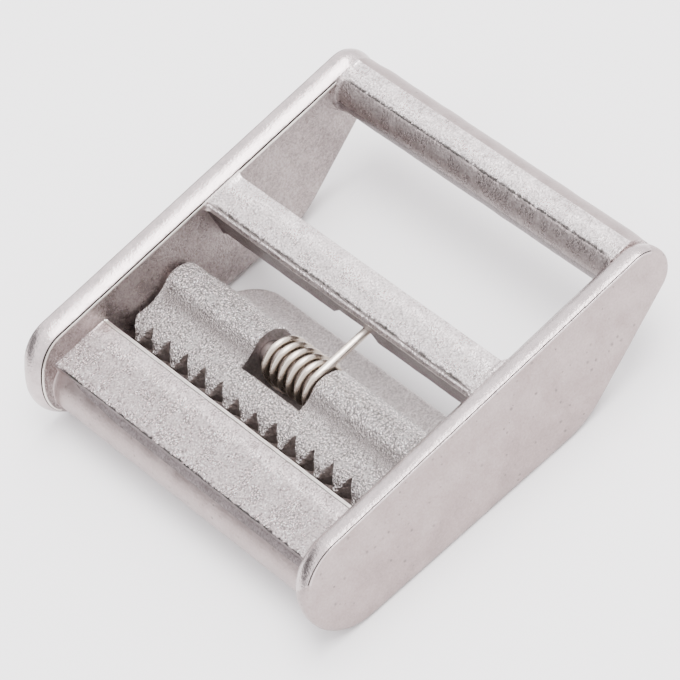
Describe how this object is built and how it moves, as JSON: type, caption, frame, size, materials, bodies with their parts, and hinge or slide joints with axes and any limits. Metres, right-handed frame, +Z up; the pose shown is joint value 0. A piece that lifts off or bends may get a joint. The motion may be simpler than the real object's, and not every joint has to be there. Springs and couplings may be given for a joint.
{
  "type": "cam buckle",
  "caption": "Cast metal strap buckle with a toothed spring-loaded cam lever on a pin between two side plates, and a rear bar for a sewn webbing loop.",
  "frame": {"origin": "centre of the buckle's bounding box on the plane that it stands on", "axes": "+X across the buckle along the hinge pin, +Y from the front bar back to the rear bar, +Z up"},
  "size_m": [0.0454, 0.046, 0.0126],
  "materials": {
    "cast_frame": "bead-blasted cast stainless steel, satin",
    "cam_lever": "as-cast stainless steel, grainy",
    "hinge_pin": "drawn stainless steel, satin",
    "spring_wire": "drawn stainless spring wire, bright"
  },
  "bodies": {
    "frame": {"cast_frame": "cast_frame", "hinge_pin": "hinge_pin", "torsion_spring": "spring_wire"},
    "cam": {"cam_lever": "cam_lever"}
  },
  "joints": [
    {"name": "cam_hinge", "type": "hinge", "parent": "frame", "child": "cam", "pos_m": [0, -0.00529, 0.00529], "axis": [1, 0, 0], "range_deg": [0, 27], "stiffness_Nm_per_rad": 0.077, "springref_deg": -5.73, "deforming": ["torsion_spring"]}
  ]
}
